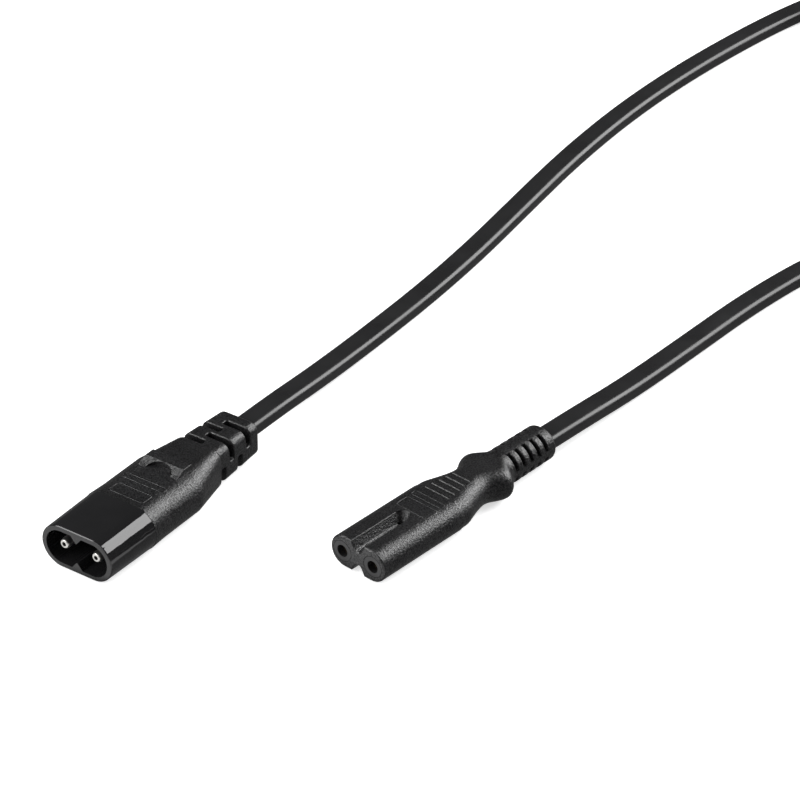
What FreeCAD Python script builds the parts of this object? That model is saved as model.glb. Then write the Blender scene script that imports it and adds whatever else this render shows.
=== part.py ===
import FreeCAD, Part
import math
import os

# Figure eight extension lead, in millimetres.
# A plug with two hollow pins in an open shroud and a socket with two contact sleeves end one flat twin cord.
# Each connector is drawn with its axis along +Y, its open end at y = 0, +X to the right and z = 0 on the axis.
# In the finished frame the socket's axis runs along +Y, both connectors and the cord lie on the plane z = 0
# and the middle of the two connectors is at x = y = 0.

V = FreeCAD.Vector

# Mating sizes shared by the plug and the socket
PIN_PITCH = 8.6
PIN_DIAMETER = 2.4
PIN_X = PIN_PITCH / 2

# Cord: a flat sheath over two round cores with stranded wire
CORD_WIDTH = 6.0
CORD_HEIGHT = 3.6
CORE_DIAMETER = 2.2
CORE_GAP = 0.4
STRAND_DIAMETER = 0.9
SHEATH_COVER = 0.4
CORE_X = (CORE_DIAMETER + CORE_GAP) / 2

# Socket nose, which enters the plug's recess
NOSE_WIDTH = 15.4
NOSE_HEIGHT = 7.75
NOSE_EDGE = 0.5
GROOVE_MOUTH = 3.7
GROOVE_FLOOR = 1.5
GROOVE_WEB = 3.3
GROOVE_LENGTH = 13.2
GROOVE_SCOOP = 2.0
GROOVE_NOTCH = 0.8
NOTCH_DEPTH = 0.45
GROOVE_EDGE = 0.25

# Socket grip: the width narrows to a waist and swells to two wings
TAPER_START = 25.0
WAIST_AT = 36.0
WAIST_WIDTH = 10.5
WING_AT = 41.4
WING_WIDTH = 14.5
NECK_AT = 45.6
RIB_COUNT = 5
RIB_FIRST = 25.35
RIB_SPACING = 1.96
RIB_LENGTH = 7.0
RIB_SHORTENING = 0.5
RIB_WIDTH = 0.6
RIB_RISE = 0.22

# Socket strain relief
SOCKET_LENGTH = 60.0
SOCKET_RELIEF_WIDTH = 9.1
SOCKET_RELIEF_HEIGHT = 8.3
SOCKET_RELIEF_TAPER = 0.15
SOCKET_RELIEF_EDGE = 1.0
RING_SLOT_COUNT = 5
RING_SLOT_FIRST = 46.1
RING_SLOT_SPACING = 2.52
RING_SLOT_WIDTH = 1.0
RING_SPINE_TOP = 2.8
RING_SPINE_SIDE = 1.3
RING_SLOT_EDGE = 0.22

# Socket contact carrier and contacts
SLEEVE_DIAMETER = 4.9
SLEEVE_MOUTH = 2.9
SLEEVE_MOUTH_DEPTH = 2.0
SLEEVE_GAP = 0.12
SLEEVE_GAP_DEPTH = 0.4
CARRIER_LENGTH = 20.5
CARRIER_BRIDGE_LENGTH = 3.5
CARRIER_BRIDGE_HEIGHT = 2.2
CONTACT_WALL = 0.45
CONTACT_LENGTH = 12.0
CONTACT_SLIT = 0.4
CONTACT_SLIT_LENGTH = 8.0
CRIMP_WALL = 0.45
CRIMP_LENGTH = 5.0
CRIMP_PROUD = 3.1

# Plug shroud around the two pins
RECESS_SIDE_GAP = 0.5
RECESS_TOP_GAP = 0.175
RECESS_FLOOR = 1.3
SHROUD_SIDE_WALL = 1.25
SHROUD_TOP_WALL = 1.1
SHROUD_LENGTH = 14.8
SHROUD_DRAFT = 0.25
RIM_EDGE = 0.3
TOOTH_WIDTH = 2.8
TOOTH_GAP = 5.0
TOOTH_TIP = 0.3
TONGUE_LENGTH = 7.0
TONGUE_WALL = 1.2
PIN_TIP_AT = 1.15
PIN_HOLE = 1.3
PIN_HOLE_DEPTH = 7.0
PIN_TIP_EDGE = 0.3
PIN_ROOT_DIAMETER = 3.0
PIN_COLLAR_RISE = 0.5
PIN_COLLAR_LENGTH = 1.5
PIN_TAIL = 4.0

# Plug overmould
PLUG_STEP_END = 19.0
PLUG_STEP = 0.2
PLUG_TAPER_LENGTH = 11.1
PLUG_SHOULDER_WIDTH = 12.2
PLUG_SHOULDER_HEIGHT = 9.9
PLUG_SHOULDER_CORNER = 2.4
PLUG_SHOULDER_EDGE = 0.5
SIDE_FLAT = 0.4

# Thumb ledge on the plug's top, with a half moon cut in its front ramp
LEDGE_WIDTH = 10.5
LEDGE_RAMP = 2.6
LEDGE_TOP_LENGTH = 2.6
LEDGE_END_GAP = 9.3
LEDGE_RISE = 1.25
LEDGE_EDGE = 0.25
MOON_WIDTH = 6.7
MOON_DEPTH = 2.45

# Plug strain relief with L shaped slots
PLUG_LENGTH = 56.5
PLUG_RELIEF_LENGTH = 14.4
RELIEF_INSET = 0.2
PLUG_RELIEF_TAPER = 0.55
PLUG_RELIEF_CORNER = 2.1
PLUG_RELIEF_EDGE = 0.7
ELBOW_SLOT_WIDTH = 1.7
ELBOW_GAP_LEFT = 0.3
ELBOW_GAP_RIGHT = 3.45
ELBOW_SLOT_SPACING = 6.15
ELBOW_SLOT_PAIRS = 2
ELBOW_SLOT_CORNER = 0.5
ELBOW_PAST_LEFT = 0.5
ELBOW_PAST_RIGHT = 1.0
ELBOW_SIDE_END = 0.2
ELBOW_EDGE = 0.3

# Where the connectors lie
SOCKET_X = 24.576
SOCKET_Y = -9.649
PLUG_X = -19.054
PLUG_Y = -49.229
PLUG_TURN = 7.03

# Depth at which the cord's sheath ends inside each connector, and the straight run behind each connector
SOCKET_SHEATH_AT = 46.0
PLUG_CORE_RUN = 18.2
SOCKET_RUN_OUT = 10.0
PLUG_RUN_OUT = 10.5
CORE_BEND_RADIUS = 9.0
CORE_STRAIGHT = 4.0

# Coil of the spare cord, wound with the wide face upright in two layers
COIL_X = -1.0
COIL_Y = 247.0
COIL_OUTER_TURN = 35.0
COIL_TURNS = 2.6
COIL_TURN_GAP = 0.3
COIL_TAIL = 20.0
COIL_APPROACH = 12.0

# Sizes that follow from the ones above
NOSE_HALF = NOSE_WIDTH / 2
NOSE_RISE = NOSE_HEIGHT / 2
RECESS_HALF = NOSE_HALF + RECESS_SIDE_GAP
RECESS_RISE = NOSE_RISE + RECESS_TOP_GAP
RIM_HALF = RECESS_HALF + SHROUD_SIDE_WALL
RIM_RISE = RECESS_RISE + SHROUD_TOP_WALL
SEAM_HALF = RIM_HALF + SHROUD_DRAFT
SEAM_RISE = RIM_RISE + SHROUD_DRAFT
PLUG_SHOULDER_AT = PLUG_LENGTH - PLUG_RELIEF_LENGTH
PLUG_TAPER_START = PLUG_SHOULDER_AT - PLUG_TAPER_LENGTH
LEDGE_TOP_END = PLUG_SHOULDER_AT - LEDGE_END_GAP
LEDGE_TOP_START = LEDGE_TOP_END - LEDGE_TOP_LENGTH
LEDGE_FOOT = LEDGE_TOP_START - LEDGE_RAMP
ELBOW_SLOT_LEFT = PLUG_SHOULDER_AT + ELBOW_GAP_LEFT
ELBOW_SLOT_RIGHT = PLUG_SHOULDER_AT + ELBOW_GAP_RIGHT
BODY_HALF = SEAM_HALF - PLUG_STEP
BODY_RISE = SEAM_RISE - PLUG_STEP * 0.75
CONTACT_RADIUS = PIN_DIAMETER / 2
CONTACT_OUTER = CONTACT_RADIUS + CONTACT_WALL
CONTACT_END = SLEEVE_MOUTH_DEPTH + CONTACT_LENGTH
CRIMP_OUTER = STRAND_DIAMETER / 2 + CRIMP_WALL
CRIMP_END = CARRIER_LENGTH + CRIMP_PROUD
STEM_END = CRIMP_END - CRIMP_LENGTH
RECESS_DEPTH = SHROUD_LENGTH - RECESS_FLOOR
PIN_ROOT = PIN_ROOT_DIAMETER / 2
PIN_TAIL_AT = SHROUD_LENGTH + TONGUE_LENGTH
PIN_END = PIN_TAIL_AT + PIN_TAIL
PLUG_SHEATH_AT = PIN_END + PLUG_CORE_RUN
SOCKET_AXIS_Z = SOCKET_RELIEF_HEIGHT / 2
PLUG_AXIS_Z = SEAM_RISE
CORD_Z = CORD_HEIGHT / 2
COIL_PITCH = CORD_HEIGHT + COIL_TURN_GAP
COIL_INNER_TURN = COIL_OUTER_TURN - COIL_PITCH * COIL_TURNS
COIL_LAYER = CORD_WIDTH + COIL_TURN_GAP
COIL_TOP_Z = COIL_LAYER + CORD_WIDTH / 2


# Outlines and simple solids

def arc(a, b, c):
    """Edge of the arc from a through b to c."""
    return Part.Arc(a, b, c).toShape()


def line(a, b):
    """Straight edge from a to b."""
    return Part.LineSegment(a, b).toShape()


def stadium(half, rise, y):
    """Outline with round ends, half wide on each side of the axis and rise high, across the axis at y."""
    x = half - rise
    return Part.Wire([
        line(V(-x, y, rise), V(x, y, rise)),
        arc(V(x, y, rise), V(half, y, 0), V(x, y, -rise)),
        line(V(x, y, -rise), V(-x, y, -rise)),
        arc(V(-x, y, -rise), V(-half, y, 0), V(-x, y, rise)),
    ])


def rounded(half, rise, corner, y):
    """Rounded rectangle across the axis at y."""
    x = half - corner
    z = rise - corner
    d = corner * math.sqrt(0.5)
    return Part.Wire([
        line(V(-x, y, rise), V(x, y, rise)),
        arc(V(x, y, rise), V(x + d, y, z + d), V(half, y, z)),
        line(V(half, y, z), V(half, y, -z)),
        arc(V(half, y, -z), V(x + d, y, -z - d), V(x, y, -rise)),
        line(V(x, y, -rise), V(-x, y, -rise)),
        arc(V(-x, y, -rise), V(-x - d, y, -z - d), V(-half, y, -z)),
        line(V(-half, y, -z), V(-half, y, z)),
        arc(V(-half, y, z), V(-x - d, y, z + d), V(-x, y, rise)),
    ])


def straight_loft(*wires):
    """Solid with straight sides between the outlines."""
    return Part.makeLoft(list(wires), True, True)


def smooth_loft(wires):
    """Solid whose sides pass smoothly through the outlines."""
    return Part.makeLoft(list(wires), True, False)


def block(x0, x1, y0, y1, z0, z1):
    """Box between the two corners."""
    return Part.makeBox(x1 - x0, y1 - y0, z1 - z0, V(x0, y0, z0))


def rod(radius, y0, y1, x=0.0, z=0.0):
    """Cylinder along the axis from y0 to y1."""
    return Part.makeCylinder(radius, y1 - y0, V(x, y0, z), V(0, 1, 0))


def polygon(points):
    """Face inside a closed run of points."""
    return Part.Face(Part.makePolygon(list(points) + [points[0]]))


def fuse(first, *others):
    """One solid of several, without the seams between them."""
    return first.fuse(list(others)).removeSplitter()


def edges_where(shape, test):
    """Edges of the shape whose ends and middle all pass the test."""
    found = []
    for edge in shape.Edges:
        middle = edge.valueAt((edge.FirstParameter + edge.LastParameter) / 2)
        points = [vertex.Point for vertex in edge.Vertexes] + [middle]
        if all(test(point) for point in points):
            found.append(edge)
    return found


def slot_edges(shape, starts, width, outside):
    """Edges of the shape in the walls of slots across it, where the outside test holds."""
    walls = [start + shift for start in starts for shift in (0.0, width)]
    return edges_where(
        shape, lambda point: any(abs(point.y - wall) < 1e-4 for wall in walls) and outside(point))


def blend(value, start, end):
    """0 before start, 1 after end and a smooth half wave between them."""
    share = min(max((value - start) / (end - start), 0.0), 1.0)
    return (1 - math.cos(math.pi * share)) / 2


# Paths with tangent arcs

def tangent_arc(before, corner, after, reach):
    """Start, middle and end of the arc that rounds a corner, reach away from it along both runs."""
    back = (before - corner).normalize()
    ahead = (after - corner).normalize()
    start = corner + back * reach
    end = corner + ahead * reach
    turn = math.pi - back.getAngle(ahead)
    radius = reach / math.tan(turn / 2)
    inward = (back + ahead).normalize()
    middle = corner + inward * (radius / math.cos(turn / 2) - radius)
    return start, middle, end, radius


def rounded_path(points, share=0.45, radius=None):
    """Wire of straight runs joined by tangent arcs, and the arcs' radii."""
    edges = []
    radii = []
    last = points[0]
    for before, corner, after in zip(points, points[1:], points[2:]):
        reach = share * min((corner - before).Length, (after - corner).Length)
        if radius is not None:
            turn = math.pi - (before - corner).getAngle(after - corner)
            reach = radius * math.tan(turn / 2)
        start, middle, end, size = tangent_arc(before, corner, after, reach)
        edges.append(line(last, start))
        edges.append(arc(start, middle, end))
        radii.append(size)
        last = end
    edges.append(line(last, points[-1]))
    return Part.Wire(edges), radii


def round_pipe(points, diameter, radius):
    """Round tube that follows the points, with bends of one radius."""
    path, _ = rounded_path(points, radius=radius)
    heading = (points[1] - points[0]).normalize()
    section = Part.Wire([Part.makeCircle(diameter / 2, points[0], heading)])
    shell = Part.BRepOffsetAPI.MakePipeShell(path)
    shell.add(section, False, False)
    shell.build()
    shell.makeSolid()
    return shell.shape()


def cord_section(origin, heading):
    """Outline of the flat cord at a point of its route, wide face up."""
    outline = stadium(CORD_WIDTH / 2, CORD_HEIGHT / 2, 0.0)
    turn = math.degrees(math.atan2(-heading.x, heading.y))
    outline.rotate(V(0, 0, 0), V(0, 0, 1), turn)
    outline.translate(origin)
    return outline


def cord_tube(points, name):
    """Flat cord along a route, wide face up all the way."""
    path, radii = rounded_path(points)
    section = cord_section(points[0], points[1] - points[0])
    shell = Part.BRepOffsetAPI.MakePipeShell(path)
    shell.setBiNormalMode(V(0, 0, 1))
    shell.add(section, False, False)
    shell.build()
    shell.makeSolid()
    tube = shell.shape()
    area = Part.Face(section).Area
    runs = " ".join("%.0f" % radius for radius in radii)
    print("%s length %.1f volume %.1f section x length %.1f radii %s"
          % (name, path.Length, tube.Volume, area * path.Length, runs))
    return tube


# Wire inside a connector

def core_points(side, start, sheath_at):
    """Route of one core from its crimp to the end of the sheath."""
    wide = side * PIN_X
    narrow = side * CORE_X
    return [
        V(wide, start, 0),
        V(wide, start + CORE_STRAIGHT, 0),
        V(narrow, sheath_at - CORE_STRAIGHT, 0),
        V(narrow, sheath_at, 0),
    ]


def core(side, start, sheath_at):
    """Insulated core between the crimp and the sheath."""
    return round_pipe(core_points(side, start, sheath_at), CORE_DIAMETER, CORE_BEND_RADIUS)


def cord_pocket(start, end):
    """Space that the sheath fills inside a connector."""
    return straight_loft(
        stadium(CORD_WIDTH / 2, CORD_HEIGHT / 2, start),
        stadium(CORD_WIDTH / 2, CORD_HEIGHT / 2, end),
    )


# Socket

def grip_half(y):
    """Half width of the socket's body along its length."""
    half = NOSE_HALF
    half -= (NOSE_HALF - WAIST_WIDTH / 2) * blend(y, TAPER_START, WAIST_AT)
    half += (WING_WIDTH - WAIST_WIDTH) / 2 * blend(y, WAIST_AT, WING_AT)
    half -= (WING_WIDTH - SOCKET_RELIEF_WIDTH) / 2 * blend(y, WING_AT, NECK_AT)
    return half


def grip_rise(y):
    """Half height of the socket's body along its length."""
    return NOSE_RISE + (SOCKET_RELIEF_HEIGHT / 2 - NOSE_RISE) * blend(y, WING_AT, NECK_AT)


def grip_stations():
    """Places along the grip where its outline is set."""
    stations = [TAPER_START + (WAIST_AT - TAPER_START) * step / 5 for step in range(5)]
    stations += [WAIST_AT + (WING_AT - WAIST_AT) * step / 4 for step in range(4)]
    stations += [WING_AT + (NECK_AT - WING_AT) * step / 4 for step in range(5)]
    return stations


def groove_outline(y, grow=0.0):
    """Outline of the lengthwise groove across the axis at y, open upwards, larger by grow on all sides."""
    floor_half = GROOVE_FLOOR / 2
    corner = GROOVE_WEB / 2 + GROOVE_FLOOR / 4
    slope = (GROOVE_MOUTH / 2 - floor_half) / (NOSE_RISE - corner)
    top = NOSE_RISE + 1.0
    wide = floor_half + slope * (top - corner) + grow
    floor_half += grow
    return Part.Wire([
        line(V(-wide, y, top), V(wide, y, top)),
        line(V(wide, y, top), V(floor_half, y, corner - grow)),
        arc(V(floor_half, y, corner - grow), V(0, y, GROOVE_WEB / 2 - grow), V(-floor_half, y, corner - grow)),
        line(V(-floor_half, y, corner - grow), V(-wide, y, top)),
    ])


def groove(side):
    """Cutter of the lengthwise groove between the two sleeves, above (1) or below (-1) the axis."""
    notch_end = GROOVE_LENGTH + GROOVE_NOTCH
    floor_half = GROOVE_FLOOR / 2
    web = GROOVE_WEB / 2
    channel = Part.Face(groove_outline(-1.0)).extrude(V(0, notch_end + 1.0, 0))
    height = NOSE_RISE + 1.0 - web
    mouth = floor_half + (GROOVE_SCOOP - floor_half) / (NOSE_RISE - web) * height
    scoop = Part.makeCone(floor_half, mouth, height, V(0, notch_end, web), V(0, 0, 1))
    scoop = scoop.common(block(-mouth, mouth, notch_end, notch_end + mouth, web, web + height))
    notch = block(-floor_half, floor_half, GROOVE_LENGTH, notch_end, web - NOTCH_DEPTH, NOSE_RISE)
    cutter = fuse(channel, scoop, notch)
    if side < 0:
        cutter.rotate(V(0, 0, 0), V(0, 1, 0), 180)
    return cutter


def groove_lead_in(side):
    """Cutter that softens the groove's edge at the nose's face."""
    cutter = straight_loft(groove_outline(0.0, NOSE_EDGE / 2), groove_outline(NOSE_EDGE / 2))
    if side < 0:
        cutter.rotate(V(0, 0, 0), V(0, 1, 0), 180)
    return cutter


def socket_nose(end):
    """Nose of the socket with its grooves and softened edges."""
    blank = straight_loft(stadium(NOSE_HALF, NOSE_RISE, 0), stadium(NOSE_HALF, NOSE_RISE, end))
    nose = blank.cut([groove(1), groove(-1)])
    lips = edges_where(
        nose, lambda point: abs(abs(point.z) - NOSE_RISE) < 1e-4 and abs(abs(point.x) - GROOVE_MOUTH / 2) < 1e-2)
    nose = nose.makeFillet(GROOVE_EDGE, lips)
    front = edges_where(blank, lambda point: abs(point.y) < 1e-6)
    nose = nose.common(blank.makeFillet(NOSE_EDGE, front))
    return nose.cut([groove_lead_in(1), groove_lead_in(-1)])


def grip_rib(index, side):
    """One raised bar across the flat of the grip."""
    y = RIB_FIRST + RIB_SPACING * index
    half = (RIB_LENGTH - RIB_SHORTENING * index) / 2
    crown = NOSE_RISE + RIB_RISE
    spring = NOSE_RISE + RIB_RISE / 4
    base = NOSE_RISE - 3 * RIB_RISE
    front = y - RIB_WIDTH / 2
    back = y + RIB_WIDTH / 2
    bar = Part.Face(Part.Wire([
        line(V(-half, front, base), V(-half, front, spring)),
        arc(V(-half, front, spring), V(-half, y, crown), V(-half, back, spring)),
        line(V(-half, back, spring), V(-half, back, base)),
        line(V(-half, back, base), V(-half, front, base)),
    ])).extrude(V(2 * half, 0, 0))
    if side < 0:
        bar.rotate(V(0, 0, 0), V(0, 1, 0), 180)
    return bar


def ring_slot_cutters():
    """Slots round the socket's strain relief, parted by four spines along it."""
    reach = SOCKET_RELIEF_WIDTH
    core_half = CORD_WIDTH / 2 + SHEATH_COVER
    core_rise = CORD_HEIGHT / 2 + SHEATH_COVER
    cutters = []
    for index in range(RING_SLOT_COUNT):
        y = RING_SLOT_FIRST + RING_SLOT_SPACING * index
        inner = straight_loft(stadium(core_half, core_rise, y - 1), stadium(core_half, core_rise, y + 2))
        ring = block(-reach, reach, y, y + RING_SLOT_WIDTH, -reach, reach).cut(inner)
        ring = ring.cut(block(-RING_SPINE_TOP / 2, RING_SPINE_TOP / 2, y - 1, y + 2, -reach, reach))
        ring = ring.cut(block(-reach, reach, y - 1, y + 2, -RING_SPINE_SIDE / 2, RING_SPINE_SIDE / 2))
        cutters.append(ring)
    return cutters


def socket_outside():
    """Outer shape of the socket's overmould."""
    stations = grip_stations()
    nose = socket_nose(stations[0])
    grip = smooth_loft(stadium(grip_half(y), grip_rise(y), y) for y in stations)
    half = SOCKET_RELIEF_WIDTH / 2
    rise = SOCKET_RELIEF_HEIGHT / 2
    relief = straight_loft(
        stadium(half, rise, stations[-1]),
        stadium(half - SOCKET_RELIEF_TAPER, rise - SOCKET_RELIEF_TAPER, SOCKET_LENGTH),
    )
    rear = edges_where(relief, lambda point: abs(point.y - SOCKET_LENGTH) < 1e-6)
    relief = relief.makeFillet(SOCKET_RELIEF_EDGE, rear)
    for cutter in ring_slot_cutters():
        relief = relief.cut(cutter)

    def outside_sheath(point):
        across = max(abs(point.x) - (half - rise), 0.0)
        return math.hypot(across, point.z) > rise - 2 * SOCKET_RELIEF_TAPER

    starts = [RING_SLOT_FIRST + RING_SLOT_SPACING * index for index in range(RING_SLOT_COUNT)]
    relief = relief.makeFillet(RING_SLOT_EDGE, slot_edges(relief, starts, RING_SLOT_WIDTH, outside_sheath))
    outside = nose.fuse([grip, relief])
    ribs = [grip_rib(index, side) for index in range(RIB_COUNT) for side in (1, -1)]
    return outside.fuse(ribs).removeSplitter()


def contact_envelope(side):
    """Outer shape of one contact: spring sleeve, stem and crimp barrel."""
    x = side * PIN_X
    sleeve = rod(CONTACT_OUTER, SLEEVE_MOUTH_DEPTH, CONTACT_END, x)
    stem = rod(CRIMP_OUTER, CONTACT_END, CRIMP_END, x)
    return fuse(sleeve, stem)


def socket_contact(side):
    """Contact with a slit sleeve for the pin and a barrel crimped on the strands."""
    x = side * PIN_X
    contact = contact_envelope(side)
    contact = contact.cut(rod(CONTACT_RADIUS, SLEEVE_MOUTH_DEPTH, CONTACT_END - CONTACT_WALL, x))
    slit_end = SLEEVE_MOUTH_DEPTH + CONTACT_SLIT_LENGTH
    slit = block(x - CONTACT_SLIT / 2, x + CONTACT_SLIT / 2, SLEEVE_MOUTH_DEPTH, slit_end, 0, CONTACT_OUTER + 1)
    contact = contact.cut(slit)
    return contact.cut(rod(STRAND_DIAMETER / 2, STEM_END, CRIMP_END, x))


def socket_strands(side):
    """Bare strands in the contact's barrel."""
    return rod(STRAND_DIAMETER / 2, STEM_END, CRIMP_END, side * PIN_X)


def carrier_outside():
    """Outer shape of the contact carrier: two sleeves joined behind the grooves."""
    sleeves = [rod(SLEEVE_DIAMETER / 2, 0, CARRIER_LENGTH, side * PIN_X) for side in (-1, 1)]
    rise = CARRIER_BRIDGE_HEIGHT / 2
    bridge = block(-PIN_X, PIN_X, CARRIER_LENGTH - CARRIER_BRIDGE_LENGTH, CARRIER_LENGTH, -rise, rise)
    return fuse(sleeves[0], sleeves[1], bridge)


def socket_insert():
    """Contact carrier with the two mouths that the pins enter."""
    carrier = carrier_outside()
    for side in (-1, 1):
        mouth = rod(SLEEVE_MOUTH / 2, 0, SLEEVE_MOUTH_DEPTH, side * PIN_X)
        carrier = carrier.cut(mouth).cut(contact_envelope(side))
    return carrier


def socket_body():
    """Overmould of the socket, moulded over the carrier, the crimps, the cores and the sheath."""
    body = socket_outside().cut(carrier_outside())
    for side in (-1, 1):
        body = body.cut(rod(SLEEVE_DIAMETER / 2 + SLEEVE_GAP, 0, SLEEVE_GAP_DEPTH, side * PIN_X))
        body = body.cut(rod(CRIMP_OUTER, CARRIER_LENGTH, CRIMP_END, side * PIN_X))
        body = body.cut(core(side, CRIMP_END, SOCKET_SHEATH_AT))
    return body.cut(cord_pocket(SOCKET_SHEATH_AT, SOCKET_LENGTH))


# Plug

def tooth(side):
    """Rib of the recess that enters the socket's groove, below the roof (1) or above the floor (-1)."""
    root = RECESS_RISE + 0.3
    tip = TOOTH_GAP / 2
    slope = TOOTH_WIDTH / 2 / (RECESS_RISE - tip)
    flat = TOOTH_TIP / 2
    points = [
        V(-TOOTH_WIDTH / 2 - slope * 0.3, 0, root),
        V(-flat, 0, tip),
        V(flat, 0, tip),
        V(TOOTH_WIDTH / 2 + slope * 0.3, 0, root),
    ]
    rib = polygon(points).extrude(V(0, RECESS_DEPTH, 0))
    if side < 0:
        rib.rotate(V(0, 0, 0), V(0, 1, 0), 180)
    return rib


def shroud_outside():
    """Outer shape of the plug's shroud with a softened rim."""
    shroud = straight_loft(stadium(RIM_HALF, RIM_RISE, 0), stadium(SEAM_HALF, SEAM_RISE, SHROUD_LENGTH))
    rim = edges_where(shroud, lambda point: abs(point.y) < 1e-6)
    return shroud.makeFillet(RIM_EDGE, rim)


def tongue():
    """Block behind the recess that grips the pins inside the overmould."""
    half = PIN_X + PIN_ROOT + TONGUE_WALL
    rise = PIN_ROOT + TONGUE_WALL
    return straight_loft(stadium(half, rise, SHROUD_LENGTH), stadium(half, rise, SHROUD_LENGTH + TONGUE_LENGTH))


def pin_envelope(side):
    """Outer shape of one pin: shank, thicker root and collar inside the tongue, and crimp tail."""
    x = side * PIN_X
    shank = rod(PIN_DIAMETER / 2, PIN_TIP_AT, RECESS_DEPTH, x)
    tip = edges_where(shank, lambda point: abs(point.y - PIN_TIP_AT) < 1e-6)
    shank = shank.makeFillet(PIN_TIP_EDGE, tip)
    root = rod(PIN_ROOT, RECESS_DEPTH, PIN_TAIL_AT, x)
    collar_at = SHROUD_LENGTH + (TONGUE_LENGTH - PIN_COLLAR_LENGTH) / 2
    collar = rod(PIN_ROOT + PIN_COLLAR_RISE, collar_at, collar_at + PIN_COLLAR_LENGTH, x)
    tail = rod(CRIMP_OUTER, PIN_TAIL_AT, PIN_END, x)
    return fuse(shank, root, collar, tail)


def plug_pin(side):
    """Hollow pin, open at its tip and at the tail that holds the strands."""
    x = side * PIN_X
    pin = pin_envelope(side)
    pin = pin.cut(rod(PIN_HOLE / 2, PIN_TIP_AT - 1, PIN_TIP_AT + PIN_HOLE_DEPTH, x))
    return pin.cut(rod(STRAND_DIAMETER / 2, PIN_TAIL_AT, PIN_END, x))


def plug_strands(side):
    """Bare strands in the pin's tail."""
    return rod(STRAND_DIAMETER / 2, PIN_TAIL_AT, PIN_END, side * PIN_X)


def plug_insert():
    """Shroud with the open recess, its two teeth and the tongue that holds the pins."""
    recess = straight_loft(
        stadium(RECESS_HALF, RECESS_RISE, -1.0),
        stadium(RECESS_HALF, RECESS_RISE, RECESS_DEPTH),
    )
    recess = recess.cut(tooth(1)).cut(tooth(-1))
    insert = shroud_outside().cut(recess)
    insert = insert.fuse(tongue()).removeSplitter()
    for side in (-1, 1):
        insert = insert.cut(pin_envelope(side))
    return insert


def thumb_ledge():
    """Ledge across the plug's top with a half moon cut in its front ramp."""
    top = BODY_RISE + LEDGE_RISE
    base = BODY_RISE / 2
    half = LEDGE_WIDTH / 2
    profile = polygon([
        V(-half, LEDGE_FOOT, base),
        V(-half, LEDGE_FOOT, BODY_RISE),
        V(-half, LEDGE_TOP_START, top),
        V(-half, LEDGE_TOP_END, top),
        V(-half, LEDGE_TOP_END, base),
    ])
    ledge = profile.extrude(V(LEDGE_WIDTH, 0, 0))
    crest = edges_where(ledge, lambda point: abs(point.z - top) < 1e-6)
    ledge = ledge.makeFillet(LEDGE_EDGE, crest)
    moon = Part.Ellipse(V(0, 0, 0), MOON_WIDTH / 2, MOON_DEPTH).toShape()
    moon = Part.Face(Part.Wire([moon]))
    moon.translate(V(0, LEDGE_FOOT, BODY_RISE))
    return ledge.cut(moon.extrude(V(0, 0, LEDGE_RISE + 1)))


def relief_half(y):
    """Half width of the plug's strain relief at y."""
    share = (y - PLUG_SHOULDER_AT) / (PLUG_LENGTH - PLUG_SHOULDER_AT)
    return PLUG_SHOULDER_WIDTH / 2 - RELIEF_INSET - PLUG_RELIEF_TAPER * share


def relief_rise(y):
    """Half height of the plug's strain relief at y."""
    share = (y - PLUG_SHOULDER_AT) / (PLUG_LENGTH - PLUG_SHOULDER_AT)
    return PLUG_SHOULDER_HEIGHT / 2 - RELIEF_INSET - PLUG_RELIEF_TAPER * share


def elbow_slot(y, past):
    """Cutter of one slot that wraps a corner of the strain relief.

    It starts past the middle of the top, turns down the side at -X and stops above the axis.
    """
    reach = PLUG_SHOULDER_WIDTH
    end = y + ELBOW_SLOT_WIDTH
    core_half = CORD_WIDTH / 2 + SHEATH_COVER
    core_rise = CORD_HEIGHT / 2 + SHEATH_COVER

    def in_wall(point):
        return abs(point.y - y) < 1e-6 or abs(point.y - end) < 1e-6

    top = block(-reach, past, y, end, core_rise, reach)
    top = top.makeFillet(ELBOW_SLOT_CORNER, edges_where(
        top, lambda point: abs(point.x - past) < 1e-6 and in_wall(point)))
    side = block(-reach, -core_half, y, end, ELBOW_SIDE_END, reach)
    side = side.makeFillet(ELBOW_SLOT_CORNER, edges_where(
        side, lambda point: abs(point.z - ELBOW_SIDE_END) < 1e-6 and in_wall(point)))
    return fuse(top, side)


def elbow_slots():
    """All slots of the plug's strain relief, each with its twin half a turn round the axis."""
    cutters = []
    for index in range(ELBOW_SLOT_PAIRS):
        shift = ELBOW_SLOT_SPACING * index
        left = elbow_slot(ELBOW_SLOT_LEFT + shift, ELBOW_PAST_LEFT)
        right = elbow_slot(ELBOW_SLOT_RIGHT + shift, ELBOW_PAST_RIGHT)
        right = right.mirror(V(0, 0, 0), V(1, 0, 0))
        for slot in (left, right):
            twin = slot.copy()
            twin.rotate(V(0, 0, 0), V(0, 1, 0), 180)
            cutters += [slot, twin]
    return cutters


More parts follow.
